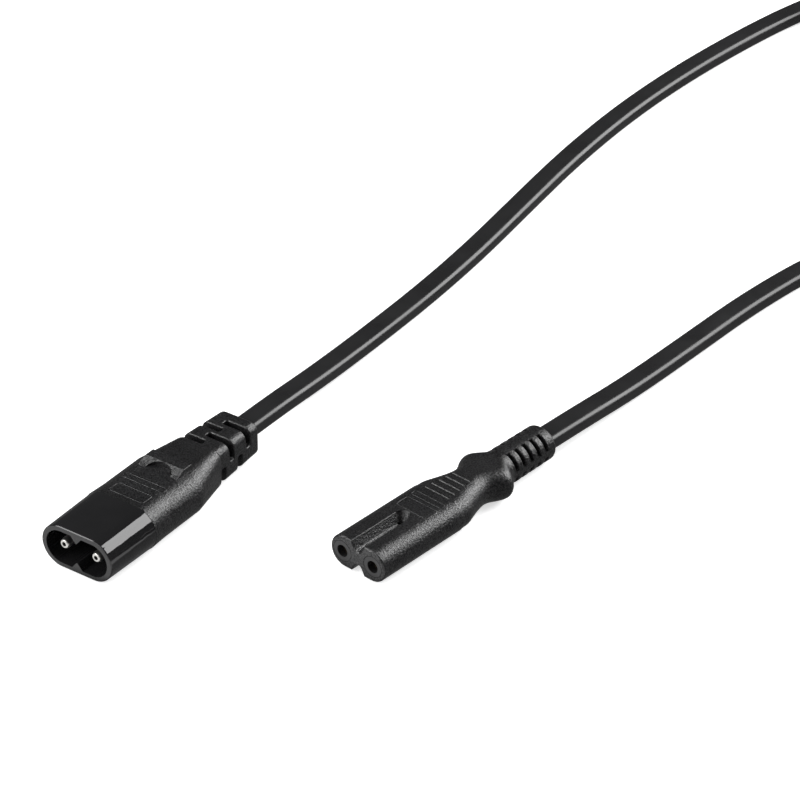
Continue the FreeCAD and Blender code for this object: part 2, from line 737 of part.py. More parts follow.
def plug_relief():
    """Strain relief of the plug with rounded blocks between the slots."""
    relief = straight_loft(
        rounded(relief_half(PLUG_SHOULDER_AT), relief_rise(PLUG_SHOULDER_AT), PLUG_RELIEF_CORNER, PLUG_SHOULDER_AT),
        rounded(relief_half(PLUG_LENGTH), relief_rise(PLUG_LENGTH), PLUG_RELIEF_CORNER, PLUG_LENGTH),
    )
    rear = edges_where(relief, lambda point: abs(point.y - PLUG_LENGTH) < 1e-6)
    relief = relief.makeFillet(PLUG_RELIEF_EDGE, rear)
    for cutter in elbow_slots():
        relief = relief.cut(cutter)

    def outside_sheath(point):
        if abs(point.y - PLUG_SHOULDER_AT) < 1e-4:
            return False
        return abs(point.x) > relief_half(point.y) - inset or abs(point.z) > relief_rise(point.y) - inset

    inset = PLUG_RELIEF_CORNER / 2
    starts = [
        first + ELBOW_SLOT_SPACING * index
        for first in (ELBOW_SLOT_LEFT, ELBOW_SLOT_RIGHT)
        for index in range(ELBOW_SLOT_PAIRS)
    ]
    return relief.makeFillet(ELBOW_EDGE, slot_edges(relief, starts, ELBOW_SLOT_WIDTH, outside_sheath))


def plug_outside():
    """Outer shape of the plug's overmould."""
    seam = rounded(SEAM_HALF, SEAM_RISE, SEAM_RISE - SIDE_FLAT / 2, SHROUD_LENGTH)
    front = rounded(BODY_HALF, BODY_RISE, BODY_RISE - SIDE_FLAT / 2, PLUG_STEP_END)
    middle = rounded(BODY_HALF, BODY_RISE, BODY_RISE - SIDE_FLAT / 2, PLUG_TAPER_START)
    shoulder = rounded(
        PLUG_SHOULDER_WIDTH / 2, PLUG_SHOULDER_HEIGHT / 2, PLUG_SHOULDER_CORNER, PLUG_SHOULDER_AT)
    body = straight_loft(seam, front, middle, shoulder)
    rear = edges_where(body, lambda point: abs(point.y - PLUG_SHOULDER_AT) < 1e-6)
    body = body.makeFillet(PLUG_SHOULDER_EDGE, rear)
    return body.fuse([plug_relief(), thumb_ledge()]).removeSplitter()


def plug_body():
    """Overmould of the plug, moulded over the tongue, the pin tails, the cores and the sheath."""
    body = plug_outside().cut(tongue())
    for side in (-1, 1):
        body = body.cut(rod(CRIMP_OUTER, PIN_TAIL_AT, PIN_END, side * PIN_X))
        body = body.cut(core(side, PIN_END, PLUG_SHEATH_AT))
    return body.cut(cord_pocket(PLUG_SHEATH_AT, PLUG_LENGTH))


# Places in the finished frame

def socket_place(shape):
    """Moves a shape of the socket to where the socket lies."""
    moved = shape.copy()
    moved.translate(V(SOCKET_X, SOCKET_Y, SOCKET_AXIS_Z))
    return moved


def plug_place(shape):
    """Turns and moves a shape of the plug to where the plug lies."""
    moved = shape.copy()
    moved.rotate(V(0, 0, 0), V(0, 0, 1), PLUG_TURN)
    moved.translate(V(PLUG_X, PLUG_Y, PLUG_AXIS_Z))
    return moved


def plug_point(y):
    """Point on the plug's axis in the finished frame."""
    turn = math.radians(PLUG_TURN)
    return V(PLUG_X - y * math.sin(turn), PLUG_Y + y * math.cos(turn), PLUG_AXIS_Z)


# Cord

def socket_route():
    """Route from the sheath's end in the socket to the coil's lower tail."""
    return [
        V(SOCKET_X, SOCKET_Y + SOCKET_SHEATH_AT, SOCKET_AXIS_Z),
        V(SOCKET_X, SOCKET_Y + SOCKET_LENGTH + SOCKET_RUN_OUT, SOCKET_AXIS_Z),
        V(23.2, 82.0, 2.1),
        V(22.1, 104.0, CORD_Z),
        V(20.8, 131.0, CORD_Z),
        V(22.0, 157.0, CORD_Z),
        V(28.5, 181.0, CORD_Z),
        V(COIL_X + COIL_OUTER_TURN, 203.0, CORD_Z),
        V(COIL_X + COIL_OUTER_TURN, COIL_Y - COIL_TAIL, CORD_Z),
    ]


def plug_route():
    """Route from the sheath's end in the plug to the coil's upper tail."""
    return [
        plug_point(PLUG_SHEATH_AT),
        plug_point(PLUG_LENGTH + PLUG_RUN_OUT),
        V(-31.0, 37.0, 3.1),
        V(-34.7, 58.0, CORD_Z),
        V(-38.0, 81.0, CORD_Z),
        V(-42.4, 104.0, CORD_Z),
        V(-48.5, 129.0, CORD_Z),
        V(-54.5, 154.0, CORD_Z),
        V(-59.2, 181.0, CORD_Z),
        V(-61.5, 207.0, CORD_Z),
        V(-61.9, 232.0, CORD_Z),
        V(-61.0, 254.0, CORD_Z),
        V(-55.7, 266.8, 4.2),
        V(-45.8, 276.7, 7.0),
        V(COIL_X - COIL_TAIL - COIL_APPROACH, COIL_Y + COIL_OUTER_TURN, COIL_TOP_Z),
        V(COIL_X - COIL_TAIL, COIL_Y + COIL_OUTER_TURN, COIL_TOP_Z),
    ]


def coil():
    """Closed outer shape of the coil with the two tails that leave it along its tangents."""
    outer = COIL_OUTER_TURN + CORD_HEIGHT / 2
    inner = COIL_INNER_TURN - CORD_HEIGHT / 2
    height = COIL_LAYER + CORD_WIDTH
    ring = Part.makeCylinder(outer, height, V(COIL_X, COIL_Y, 0), V(0, 0, 1))
    ring = ring.cut(Part.makeCylinder(inner, height, V(COIL_X, COIL_Y, 0), V(0, 0, 1)))
    lower_start = V(COIL_X + COIL_OUTER_TURN, COIL_Y - COIL_TAIL, CORD_Z)
    lower = Part.Face(cord_section(lower_start, V(0, 1, 0))).extrude(V(0, COIL_TAIL, 0))
    upper_start = V(COIL_X - COIL_TAIL, COIL_Y + COIL_OUTER_TURN, COIL_TOP_Z)
    upper = Part.Face(cord_section(upper_start, V(1, 0, 0))).extrude(V(COIL_TAIL, 0, 0))
    return ring.fuse([lower, upper])


def build():
    """All nodes of the lead, by name."""
    nodes = {
        "socket_body": socket_place(socket_body()),
        "socket_insert": socket_place(socket_insert()),
        "plug_body": plug_place(plug_body()),
        "plug_insert": plug_place(plug_insert()),
    }
    for name, side in (("live", -1), ("neutral", 1)):
        nodes["socket_contact_" + name] = socket_place(socket_contact(side))
        nodes["socket_strands_" + name] = socket_place(socket_strands(side))
        nodes["socket_core_" + name] = socket_place(core(side, CRIMP_END, SOCKET_SHEATH_AT))
        nodes["plug_pin_" + name] = plug_place(plug_pin(side))
        nodes["plug_strands_" + name] = plug_place(plug_strands(side))
        nodes["plug_core_" + name] = plug_place(core(side, PIN_END, PLUG_SHEATH_AT))
    nodes["cord_socket_side"] = cord_tube(socket_route(), "cord_socket_side")
    nodes["cord_plug_side"] = cord_tube(plug_route(), "cord_plug_side")
    nodes["cord_coil"] = coil()
    return nodes


def main():
    """Writes one STEP file for each node."""
    os.makedirs("parts", exist_ok=True)
    for name, shape in build().items():
        solids = shape.Solids
        box = shape.BoundBox
        print("%-24s valid %s solids %d volume %.2f x %.2f %.2f y %.2f %.2f z %.2f %.2f" % (
            name, shape.isValid(), len(solids), shape.Volume,
            box.XMin, box.XMax, box.YMin, box.YMax, box.ZMin, box.ZMax))
        if len(solids) == 1:
            shape = solids[0]
        shape.exportStep("parts/" + name + ".step")


main()
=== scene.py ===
"""Looks of a figure eight extension lead: finishes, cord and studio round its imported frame.

Everything is in metres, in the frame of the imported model: +Z up, the lead lying on z = 0, the socket's
axis along +Y with its face towards -Y, the plug on its -X side.
"""

import logging
import math
from collections.abc import Callable
from dataclasses import dataclass, field, replace
from enum import Enum
from functools import partial

import bmesh
import bpy
from mathutils import Matrix, Quaternion, Vector


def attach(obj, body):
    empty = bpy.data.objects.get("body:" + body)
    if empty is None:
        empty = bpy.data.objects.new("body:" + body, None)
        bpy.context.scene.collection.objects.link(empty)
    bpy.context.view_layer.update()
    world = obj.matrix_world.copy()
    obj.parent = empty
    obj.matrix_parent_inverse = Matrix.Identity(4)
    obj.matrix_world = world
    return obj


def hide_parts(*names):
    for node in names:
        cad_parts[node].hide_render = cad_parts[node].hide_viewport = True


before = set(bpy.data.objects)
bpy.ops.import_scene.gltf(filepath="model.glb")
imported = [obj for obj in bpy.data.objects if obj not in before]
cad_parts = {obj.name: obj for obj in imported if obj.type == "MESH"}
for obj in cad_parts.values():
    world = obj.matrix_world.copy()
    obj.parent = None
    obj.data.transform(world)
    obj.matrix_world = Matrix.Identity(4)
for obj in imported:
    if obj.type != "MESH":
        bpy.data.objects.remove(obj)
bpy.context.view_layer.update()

logging.basicConfig(level=logging.INFO, format="%(message)s")
log = logging.getLogger("lead")

MM = 0.001
BODY = "root"
WELD = 1e-6
UP = Vector((0, 0, 1))
WHITE = (1.0, 1.0, 1.0, 1.0)


class Pole(Enum):
    """The two poles of the lead."""

    LIVE = "live"
    NEUTRAL = "neutral"


def clamped(share: float) -> float:
    """Keeps a share from 0 to 1."""
    return min(max(share, 0.0), 1.0)


# Node helpers


class Graph:
    """A node tree with short calls to add and join nodes."""

    def __init__(self, tree: bpy.types.NodeTree) -> None:
        """Keeps the node tree of a material, a world or a group."""
        self.tree = tree

    def add(self, kind: str, values: dict | None = None, **settings: object) -> bpy.types.Node:
        """Adds a node.

        Args:
            kind: the node's type name.
            values: input values by socket name or place.
            settings: properties set on the node itself.

        Returns:
            The new node.
        """
        node = self.tree.nodes.new(kind)
        for name, value in settings.items():
            setattr(node, name, value)
        for name, value in (values or {}).items():
            node.inputs[name].default_value = value
        return node

    def group(self, name: str, values: dict[str, float]) -> bpy.types.Node:
        """Adds a shader group by its name, with its input values by theirs."""
        return self.add("ShaderNodeGroup", values, node_tree=bpy.data.node_groups[name])

    def join(self, source: bpy.types.NodeSocket, target: bpy.types.NodeSocket) -> None:
        """Links an output to an input."""
        self.tree.links.new(source, target)

    def join_all(self, *links: tuple[bpy.types.Node, str | int, bpy.types.Node, str | int]) -> None:
        """Links in order, each link given as a node, its output, the next node and its input."""
        for source, output, target, name in links:
            self.join(source.outputs[output], target.inputs[name])

    def calculate(self, operation: str, *terms: bpy.types.NodeSocket | float) -> bpy.types.NodeSocket:
        """Adds a math node.

        Args:
            operation: what it does.
            terms: its inputs in order, each an output to link or a plain number.

        Returns:
            The result's output.
        """
        node = self.add("ShaderNodeMath", operation=operation)
        for place, term in zip(node.inputs, terms):
            if isinstance(term, bpy.types.NodeSocket):
                self.join(term, place)
            else:
                place.default_value = term
        return node.outputs[0]


class SurfaceGroups:
    """Shader groups that several finishes share."""

    GRAIN = "spark_grain"
    DRIFT = "tone_drift"
    FIELD = "framed_field"

    def build(self) -> None:
        """Builds each group once."""
        self.spark_grain()
        self.tone_drift()
        self.framed_field()

    @staticmethod
    def new_group(name: str, values: dict[str, float],
                  outputs: tuple[str, ...]) -> tuple[Graph, bpy.types.Node, bpy.types.Node]:
        """Makes a shader group that reads a vector and some numbers, and puts out numbers.

        Args:
            name: the group's name.
            values: default value by number's name.
            outputs: names of the numbers that it puts out.

        Returns:
            The group's graph, its input node and its output node.
        """
        tree = bpy.data.node_groups.new(name, "ShaderNodeTree")
        tree.interface.new_socket(name="Vector", in_out="INPUT", socket_type="NodeSocketVector")
        for key, value in values.items():
            socket = tree.interface.new_socket(name=key, in_out="INPUT", socket_type="NodeSocketFloat")
            socket.default_value = value
        for key in outputs:
            tree.interface.new_socket(name=key, in_out="OUTPUT", socket_type="NodeSocketFloat")
        graph = Graph(tree)
        return graph, graph.add("NodeGroupInput"), graph.add("NodeGroupOutput")

    def spark_grain(self) -> None:
        """Height of a spark eroded mould surface: coarse pits with finer grit between them."""
        graph, source, sink = self.new_group(
            self.GRAIN, {"Pit Scale": 3600.0, "Grit Scale": 9000.0, "Grit Share": 0.35}, ("Height",))
        pits = graph.add("ShaderNodeTexNoise", {"Detail": 1.0, "Roughness": 0.5})
        grit = graph.add("ShaderNodeTexNoise", {"Detail": 2.0, "Roughness": 0.6})
        mix = graph.add("ShaderNodeMix", data_type="FLOAT")
        graph.join_all(
            (source, "Vector", pits, "Vector"),
            (source, "Vector", grit, "Vector"),
            (source, "Pit Scale", pits, "Scale"),
            (source, "Grit Scale", grit, "Scale"),
            (source, "Grit Share", mix, 0),
            (pits, 0, mix, 2),
            (grit, 0, mix, 3),
            (mix, 0, sink, "Height"),
        )

    def tone_drift(self) -> None:
        """A slow drift of colour and roughness, as handling and mould flow leave on plastic and metal."""
        graph, source, sink = self.new_group(
            self.DRIFT, {"Scale": 120.0, "Dark": 0.9, "Light": 1.1, "Smooth": 0.4, "Rough": 0.5},
            ("Tone", "Roughness"))
        drift = graph.add("ShaderNodeTexNoise", {"Detail": 3.0, "Roughness": 0.55})
        graph.join_all((source, "Vector", drift, "Vector"), (source, "Scale", drift, "Scale"))
        for least, most, output in (("Dark", "Light", "Tone"), ("Smooth", "Rough", "Roughness")):
            spread = graph.add("ShaderNodeMapRange", {"From Min": 0.3, "From Max": 0.7})
            graph.join_all(
                (drift, 0, spread, "Value"),
                (source, least, spread, "To Min"),
                (source, most, spread, "To Max"),
                (spread, "Result", sink, output),
            )

    def framed_field(self) -> None:
        """Raised line round a bare rectangle on an upper face, as a mould's insert leaves it."""
        graph, source, sink = self.new_group(
            self.FIELD,
            {"Half Width": 0.004, "Half Length": 0.005, "Corner": 0.0006, "Line": 0.00016, "Lowest": 0.0},
            ("Height",))
        corner = source.outputs["Corner"]
        parts = graph.add("ShaderNodeSeparateXYZ")
        beyond = graph.add("ShaderNodeCombineXYZ")
        graph.join(source.outputs["Vector"], parts.inputs[0])
        for axis, half in (("X", "Half Width"), ("Y", "Half Length")):
            inner = graph.calculate("SUBTRACT", source.outputs[half], corner)
            past = graph.calculate("SUBTRACT", graph.calculate("ABSOLUTE", parts.outputs[axis]), inner)
            graph.join(graph.calculate("MAXIMUM", past, 0.0), beyond.inputs[axis])
        reach = graph.add("ShaderNodeVectorMath", operation="LENGTH")
        graph.join(beyond.outputs[0], reach.inputs[0])
        away = graph.calculate("ABSOLUTE", graph.calculate("SUBTRACT", reach.outputs["Value"], corner))
        line = graph.add("ShaderNodeMapRange", {"From Min": 0.0, "To Min": 1.0, "To Max": 0.0},
                         interpolation_type="SMOOTHSTEP")
        graph.join(away, line.inputs["Value"])
        graph.join(source.outputs["Line"], line.inputs["From Max"])
        upper = graph.calculate("GREATER_THAN", parts.outputs["Z"], source.outputs["Lowest"])
        graph.join(graph.calculate("MULTIPLY", line.outputs["Result"], upper), sink.inputs["Height"])


# Finishes


@dataclass(frozen=True)
class Field:
    """A bare framed rectangle on a connector's upper face."""

    across: float
    along: float
    half_width: float
    half_length: float
    lowest: float = 2.0 * MM
    corner: float = 0.6 * MM
    line: float = 0.17 * MM


@dataclass(frozen=True)
class Finish:
    """A plastic, metal or copper surface with slow drift and a fine moulded or drawn grain."""

    name: str
    colour: tuple[float, float, float]
    smooth: float
    rough: float
    metallic: float = 0.0
    specular: float = 0.5
    drift_scale: float = 120.0
    drift: float = 0.12
    pit_scale: float = 3600.0
    grit_scale: float = 9000.0
    grit_share: float = 0.35
    relief: float = 0.0
    speckle: float = 0.0
    speckle_low: float = 0.36
    speckle_high: float = 0.64
    fields: tuple[Field, ...] = ()
    field_relief: float = 0.00009
    origin: tuple[float, float, float] = (0.0, 0.0, 0.0)
    turn: float = 0.0

    def build(self) -> bpy.types.Material:
        """Makes the material once.

        Returns:
            The material, which reads Object coordinates.
        """
        found = bpy.data.materials.get(self.name)
        if found:
            return found
        material = bpy.data.materials.new(self.name)
        material.use_nodes = True
        graph = Graph(material.node_tree)
        shader = material.node_tree.nodes["Principled BSDF"]
        shader.inputs["Metallic"].default_value = self.metallic
        shader.inputs["Specular IOR Level"].default_value = self.specular
        place = graph.add("ShaderNodeTexCoord")
        drift = graph.group(SurfaceGroups.DRIFT, {
            "Scale": self.drift_scale, "Dark": 1.0 - self.drift, "Light": 1.0 + self.drift,
            "Smooth": self.smooth, "Rough": self.rough})
        tint = graph.add("ShaderNodeVectorMath", {0: self.colour}, operation="SCALE")
        graph.join_all(
            (place, "Object", drift, "Vector"),
            (drift, "Tone", tint, "Scale"),
            (tint, "Vector", shader, "Base Color"),
            (drift, "Roughness", shader, "Roughness"),
        )
        if self.relief:
            grain = graph.group(SurfaceGroups.GRAIN, {
                "Pit Scale": self.pit_scale, "Grit Scale": self.grit_scale, "Grit Share": self.grit_share})
            bump = graph.add("ShaderNodeBump", {"Strength": 1.0, "Distance": self.relief})
            graph.join_all(
                (place, "Object", grain, "Vector"),
                (grain, "Height", bump, "Height"),
                (bump, "Normal", shader, "Normal"),
            )
            if self.speckle:
                self.add_speckle(graph, grain, tint, drift, shader)
            if self.fields:
                self.add_fields(graph, place, bump)
        return material

    def add_speckle(self, graph: Graph, grain: bpy.types.Node, tint: bpy.types.Node,
                    drift: bpy.types.Node, shader: bpy.types.Node) -> None:
        """Darkens and dulls the pits of the grain, and lightens its tips.

        Args:
            graph: the material's graph.
            grain: the grain group's node.
            tint: the node that scales the colour.
            drift: the drift group's node.
            shader: the surface shader.
        """
        spots = graph.add("ShaderNodeMapRange", {
            "From Min": self.speckle_low, "From Max": self.speckle_high,
            "To Min": 1.0 - self.speckle, "To Max": 1.0 + self.speckle})
        graph.join(grain.outputs["Height"], spots.inputs["Value"])
        for term, target in ((self.specular, shader.inputs["Specular IOR Level"]),
                             (drift.outputs["Tone"], tint.inputs["Scale"])):
            graph.join(graph.calculate("MULTIPLY", spots.outputs["Result"], term), target)

    def add_fields(self, graph: Graph, place: bpy.types.Node, bump: bpy.types.Node) -> None:
        """Raises a line round each bare field, under the grain.

        Args:
            graph: the material's graph.
            place: the coordinates' node.
            bump: the grain's bump node, which takes the lines' normal.
        """
        local = graph.add("ShaderNodeMapping", {"Location": self.origin, "Rotation": (0.0, 0.0, self.turn)},
                          vector_type="TEXTURE")
        graph.join(place.outputs["Object"], local.inputs["Vector"])
        height = 0.0
        for item in self.fields:
            centre = graph.add("ShaderNodeMapping", {"Location": (item.across, item.along, 0.0)},
                               vector_type="TEXTURE")
            line = graph.group(SurfaceGroups.FIELD, {
                "Half Width": item.half_width, "Half Length": item.half_length, "Corner": item.corner,
                "Line": item.line, "Lowest": item.lowest})
            graph.join_all((local, "Vector", centre, "Vector"), (centre, "Vector", line, "Vector"))
            height = graph.calculate("MAXIMUM", height, line.outputs["Height"])
        raised = graph.add("ShaderNodeBump", {"Strength": 1.0, "Distance": self.field_relief})
        graph.join(height, raised.inputs["Height"])
        graph.join(raised.outputs["Normal"], bump.inputs["Normal"])


SOCKET_AT = (24.576 * MM, -9.649 * MM, 4.15 * MM)
PLUG_AT = (-19.054 * MM, -49.229 * MM, 5.4 * MM)
PLUG_TURN = math.radians(7.03)

OVERMOULD = Finish("spark_textured_overmould", (0.0085, 0.0085, 0.0089), smooth=0.27, rough=0.34,
                   relief=0.00014, pit_scale=2500.0, grit_scale=5000.0, speckle=0.55)
SOCKET_OVERMOULD = replace(OVERMOULD, name="socket_spark_texture", origin=SOCKET_AT, fields=(
    Field(across=0.3 * MM, along=18.3 * MM, half_width=4.3 * MM, half_length=1.9 * MM),
    Field(across=0.4 * MM, along=22.2 * MM, half_width=4.6 * MM, half_length=0.8 * MM)))
PLUG_OVERMOULD = replace(OVERMOULD, name="plug_spark_texture", origin=PLUG_AT, turn=PLUG_TURN, fields=(
    Field(across=0.1 * MM, along=18.3 * MM, half_width=4.6 * MM, half_length=1.7 * MM),
    Field(across=0.0, along=23.1 * MM, half_width=5.6 * MM, half_length=0.85 * MM)))
CARRIER = Finish("satin_contact_carrier", (0.012, 0.012, 0.0125), smooth=0.34, rough=0.42, relief=0.00001)
SHROUD = Finish("gloss_shroud", (0.0105, 0.0105, 0.011), smooth=0.035, rough=0.06, drift_scale=90.0,
                relief=0.0000012, pit_scale=700.0, grit_scale=2500.0)
SHEATH = Finish("satin_cord_sheath", (0.0125, 0.0125, 0.013), smooth=0.26, rough=0.34, specular=0.42,
                relief=0.000008, pit_scale=1800.0, grit_scale=6000.0)
NICKEL = Finish("nickel_plate", (0.62, 0.61, 0.585), smooth=0.30, rough=0.42, metallic=1.0, drift=0.05,
                drift_scale=900.0, relief=0.000003, pit_scale=2600.0, grit_scale=7000.0)
BRASS = Finish("contact_brass", (0.46, 0.37, 0.22), smooth=0.26, rough=0.38, metallic=1.0, drift=0.08,
               drift_scale=700.0, relief=0.000002)
COPPER = Finish("strand_copper", (0.80, 0.42, 0.26), smooth=0.22, rough=0.34, metallic=1.0, drift=0.1,
                drift_scale=1500.0)
BROWN_CORE = Finish("brown_insulation", (0.16, 0.07, 0.03), smooth=0.32, rough=0.40, drift=0.06)
BLUE_CORE = Finish("blue_insulation", (0.03, 0.12, 0.40), smooth=0.32, rough=0.40, drift=0.06)
CORES = {Pole.LIVE: ("brown_core", BROWN_CORE), Pole.NEUTRAL: ("blue_core", BLUE_CORE)}


# Pieces


def shade(mesh: bpy.types.Mesh, crease: float) -> None:
    """Shades a mesh smoothly, apart from edges that turn by more than the crease in degrees."""
    mesh.shade_smooth()
    mesh.set_sharp_from_angle(angle=math.radians(crease))


def rest_on_root(piece: bpy.types.Object, nodes: list[str]) -> None:
    """Ties a finished piece to the model.

    Args:
        piece: the object, at the origin with its place in its mesh.
        nodes: the solids that the piece stands for.
    """
    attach(piece, BODY)
    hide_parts(*nodes)
    log.info("%s: %d faces, stands for %s", piece.name, len(piece.data.polygons), ", ".join(nodes))


def new_piece(name: str, mesh: bpy.types.Mesh, finish: Finish) -> bpy.types.Object:
    """Links a mesh to the scene as an object at the origin.

    Args:
        name: the object's name.
        mesh: its mesh.
        finish: its finish.

    Returns:
        The new object.
    """
    piece = bpy.data.objects.new(name, mesh)
    bpy.context.scene.collection.objects.link(piece)
    mesh.materials.clear()
    mesh.materials.append(finish.build())
    return piece


def evaluated_mesh(piece: bpy.types.Object) -> bpy.types.Mesh:
    """Copies an object's mesh as its modifiers or its curve leave it."""
    graph = bpy.context.evaluated_depsgraph_get()
    return bpy.data.meshes.new_from_object(piece.evaluated_get(graph))


def smoothed_copy(node: str, name: str, finish: Finish, crease: float,
                  form: Callable[[bmesh.types.BMesh], None] | None) -> bpy.types.Object:
    """Copies a solid's mesh, joins its loose triangles and shades its curved faces smoothly.

    Args:
        node: the solid to copy.
        name: the new object's name.
        finish: its finish.
        crease: the angle in degrees past which an edge stays sharp.
        form: a last touch to the joined mesh.

    Returns:
        The new object.
    """
    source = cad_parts[node]
    mesh = source.data.copy()
    mesh.transform(source.matrix_world)
    for layer in ("custom_normal", "sharp_edge", "sharp_face"):
        if layer in mesh.attributes:
            mesh.attributes.remove(mesh.attributes[layer])
    work = bmesh.new()
    work.from_mesh(mesh)
    bmesh.ops.remove_doubles(work, verts=work.verts, dist=WELD)
    if form:
        form(work)
    work.to_mesh(mesh)
    work.free()
    shade(mesh, crease)
    piece = new_piece(name, mesh, finish)
    weights = piece.modifiers.new("weights", "WEIGHTED_NORMAL")
    weights.mode = "FACE_AREA"
    weights.keep_sharp = True
    piece.data = evaluated_mesh(piece)
    piece.modifiers.clear()
    bpy.data.meshes.remove(mesh)
    return piece


def dress_solid(node: str, name: str, finish: Finish, crease: float = 30.0,
                form: Callable[[bmesh.types.BMesh], None] | None = None) -> None:
    """Makes the finished piece that stands for one solid.

    Args:
        node: the solid.
        name: the piece's name.
        finish: its finish.
        crease: the angle in degrees past which an edge stays sharp.
        form: a last touch to the joined mesh.
    """
    rest_on_root(smoothed_copy(node, name, finish, crease, form), [node])


@dataclass
class StrandBundle:
    """Twisted copper wires in a crimp, six round one."""

    start: Vector
    heading: Vector
    length: float
    radius: float = 0.45 * MM
    radius_in_wires: float = 3.02
    wires: int = 6
    lay_turns: float = 0.5
    wire_steps: int = 12
    wire_sides: int = 10
    crease: float = 50.0

    def tree(self) -> bpy.types.NodeTree:
        """Node tree that sets a ring of wires round a middle one.

        Returns:
            The geometry node group, with inputs Wires, Wire Radius, Ring Radius, Length, Twist and Finish.
        """
        found = bpy.data.node_groups.get("strand_bundle")
        if found:
            return found
        tree = bpy.data.node_groups.new("strand_bundle", "GeometryNodeTree")
        tree.interface.new_socket(name="Geometry", in_out="OUTPUT", socket_type="NodeSocketGeometry")
        for name, kind in (("Wires", "Int"), ("Wire Radius", "Float"), ("Ring Radius", "Float"),
                           ("Length", "Float"), ("Twist", "Float"), ("Finish", "Material")):
            tree.interface.new_socket(name=name, in_out="INPUT", socket_type="NodeSocket" + kind)
        graph = Graph(tree)
        source = graph.add("NodeGroupInput")
        sink = graph.add("NodeGroupOutput")
        helix = graph.add("GeometryNodeCurveSpiral", {"Resolution": self.wire_steps})
        ring = graph.add("GeometryNodeMeshCircle", {"Radius": 1.0})
        place = graph.add("GeometryNodeInputPosition")
        outward = graph.add("ShaderNodeVectorMath", operation="NORMALIZE")
        turn = graph.add("FunctionNodeAlignRotationToVector", axis="X")
        keep = graph.add("GeometryNodeCaptureAttribute")
        keep.capture_items.new("ROTATION", "Turn")
        axis = graph.add("ShaderNodeCombineXYZ")
        gathered = graph.add("GeometryNodeSetPosition")
        copies = graph.add("GeometryNodeInstanceOnPoints")
        end = graph.add("ShaderNodeCombineXYZ")
        middle = graph.add("GeometryNodeCurvePrimitiveLine")
        both = graph.add("GeometryNodeJoinGeometry")
        real = graph.add("GeometryNodeRealizeInstances")
        section = graph.add("GeometryNodeCurvePrimitiveCircle", {"Resolution": self.wire_sides})
        tube = graph.add("GeometryNodeCurveToMesh", {"Fill Caps": True})
        dress = graph.add("GeometryNodeSetMaterial")
        graph.join_all(
            (source, "Twist", helix, "Rotations"),
            (source, "Ring Radius", helix, "Start Radius"),
            (source, "Ring Radius", helix, "End Radius"),
            (source, "Length", helix, "Height"),
            (source, "Wires", ring, "Vertices"),
            (place, "Position", outward, 0),
            (outward, "Vector", turn, "Vector"),
            (ring, "Mesh", keep, "Geometry"),
            (turn, "Rotation", keep, "Turn"),
            (keep, "Geometry", gathered, "Geometry"),
            (axis, "Vector", gathered, "Position"),
            (gathered, "Geometry", copies, "Points"),
            (helix, "Curve", copies, "Instance"),
            (keep, "Turn", copies, "Rotation"),
            (source, "Length", end, "Z"),
            (end, "Vector", middle, "End"),
            (copies, "Instances", both, "Geometry"),
            (middle, "Curve", both, "Geometry"),
            (both, "Geometry", real, "Geometry"),
            (source, "Wire Radius", section, "Radius"),
            (real, "Geometry", tube, "Curve"),
            (section, "Curve", tube, "Profile Curve"),
            (tube, "Mesh", dress, "Geometry"),
            (source, "Finish", dress, "Material"),
            (dress, "Geometry", sink, "Geometry"),
        )
        return tree

    def build(self, name: str) -> bpy.types.Object:
        """Makes the bundle as a plain mesh.

        Args:
            name: the object's name.

        Returns:
            The new object, at the origin.
        """
        tree = self.tree()
        holder = bpy.data.objects.new(name + "_maker", bpy.data.meshes.new(name + "_maker"))
        bpy.context.scene.collection.objects.link(holder)
        modifier = holder.modifiers.new("wires", "NODES")
        modifier.node_group = tree
        wire = self.radius / self.radius_in_wires
        values = {"Wires": self.wires, "Wire Radius": wire, "Ring Radius": 2.0 * wire, "Length": self.length,
                  "Twist": self.lay_turns, "Finish": COPPER.build()}
        for item in tree.interface.items_tree:
            if item.in_out == "INPUT":
                modifier[item.identifier] = values[item.name]
        mesh = evaluated_mesh(holder)
        bpy.data.objects.remove(holder)
        turn = UP.rotation_difference(self.heading)
        mesh.transform(Matrix.Translation(self.start) @ turn.to_matrix().to_4x4())
        shade(mesh, self.crease)
        return new_piece(name, mesh, COPPER)


@dataclass
class ConnectorEnd:
    """What both connectors share: where the axis lies and how wire reaches it."""

    origin: Vector
    turn: float
    pin_x: float = 4.3 * MM

    def point(self, across: float, along: float, up: float = 0.0) -> Vector:
        """Turns a place right of the axis, behind the open face and above the axis into the frame's."""
        return self.origin + Matrix.Rotation(self.turn, 3, "Z") @ Vector((across, along, up))

    def heading(self) -> Vector:
        """Direction from the open face to the cord."""
        return Matrix.Rotation(self.turn, 3, "Z") @ Vector((0, 1, 0))

    def side(self, pole: Pole) -> float:
        """Distance of a pole to the right of the axis."""
        return -self.pin_x if pole is Pole.LIVE else self.pin_x

    def wire(self, end: str, pole: Pole, start: float, stop: float) -> None:
        """Makes the bare strands and the insulated core of one pole.

        Args:
            end: the connector's word in the names.
            pole: which pole.
            start: distance behind the open face at which the bare strands begin.
            stop: distance at which they end.
        """
        name = pole.value
        strands = StrandBundle(self.point(self.side(pole), start), self.heading(), stop - start)
        rest_on_root(strands.build(f"{end}_wires_{name}"), [f"{end}_strands_{name}"])
        slot, finish = CORES[pole]
        dress_solid(f"{end}_core_{name}", f"{end}_insulation_{name}", finish)


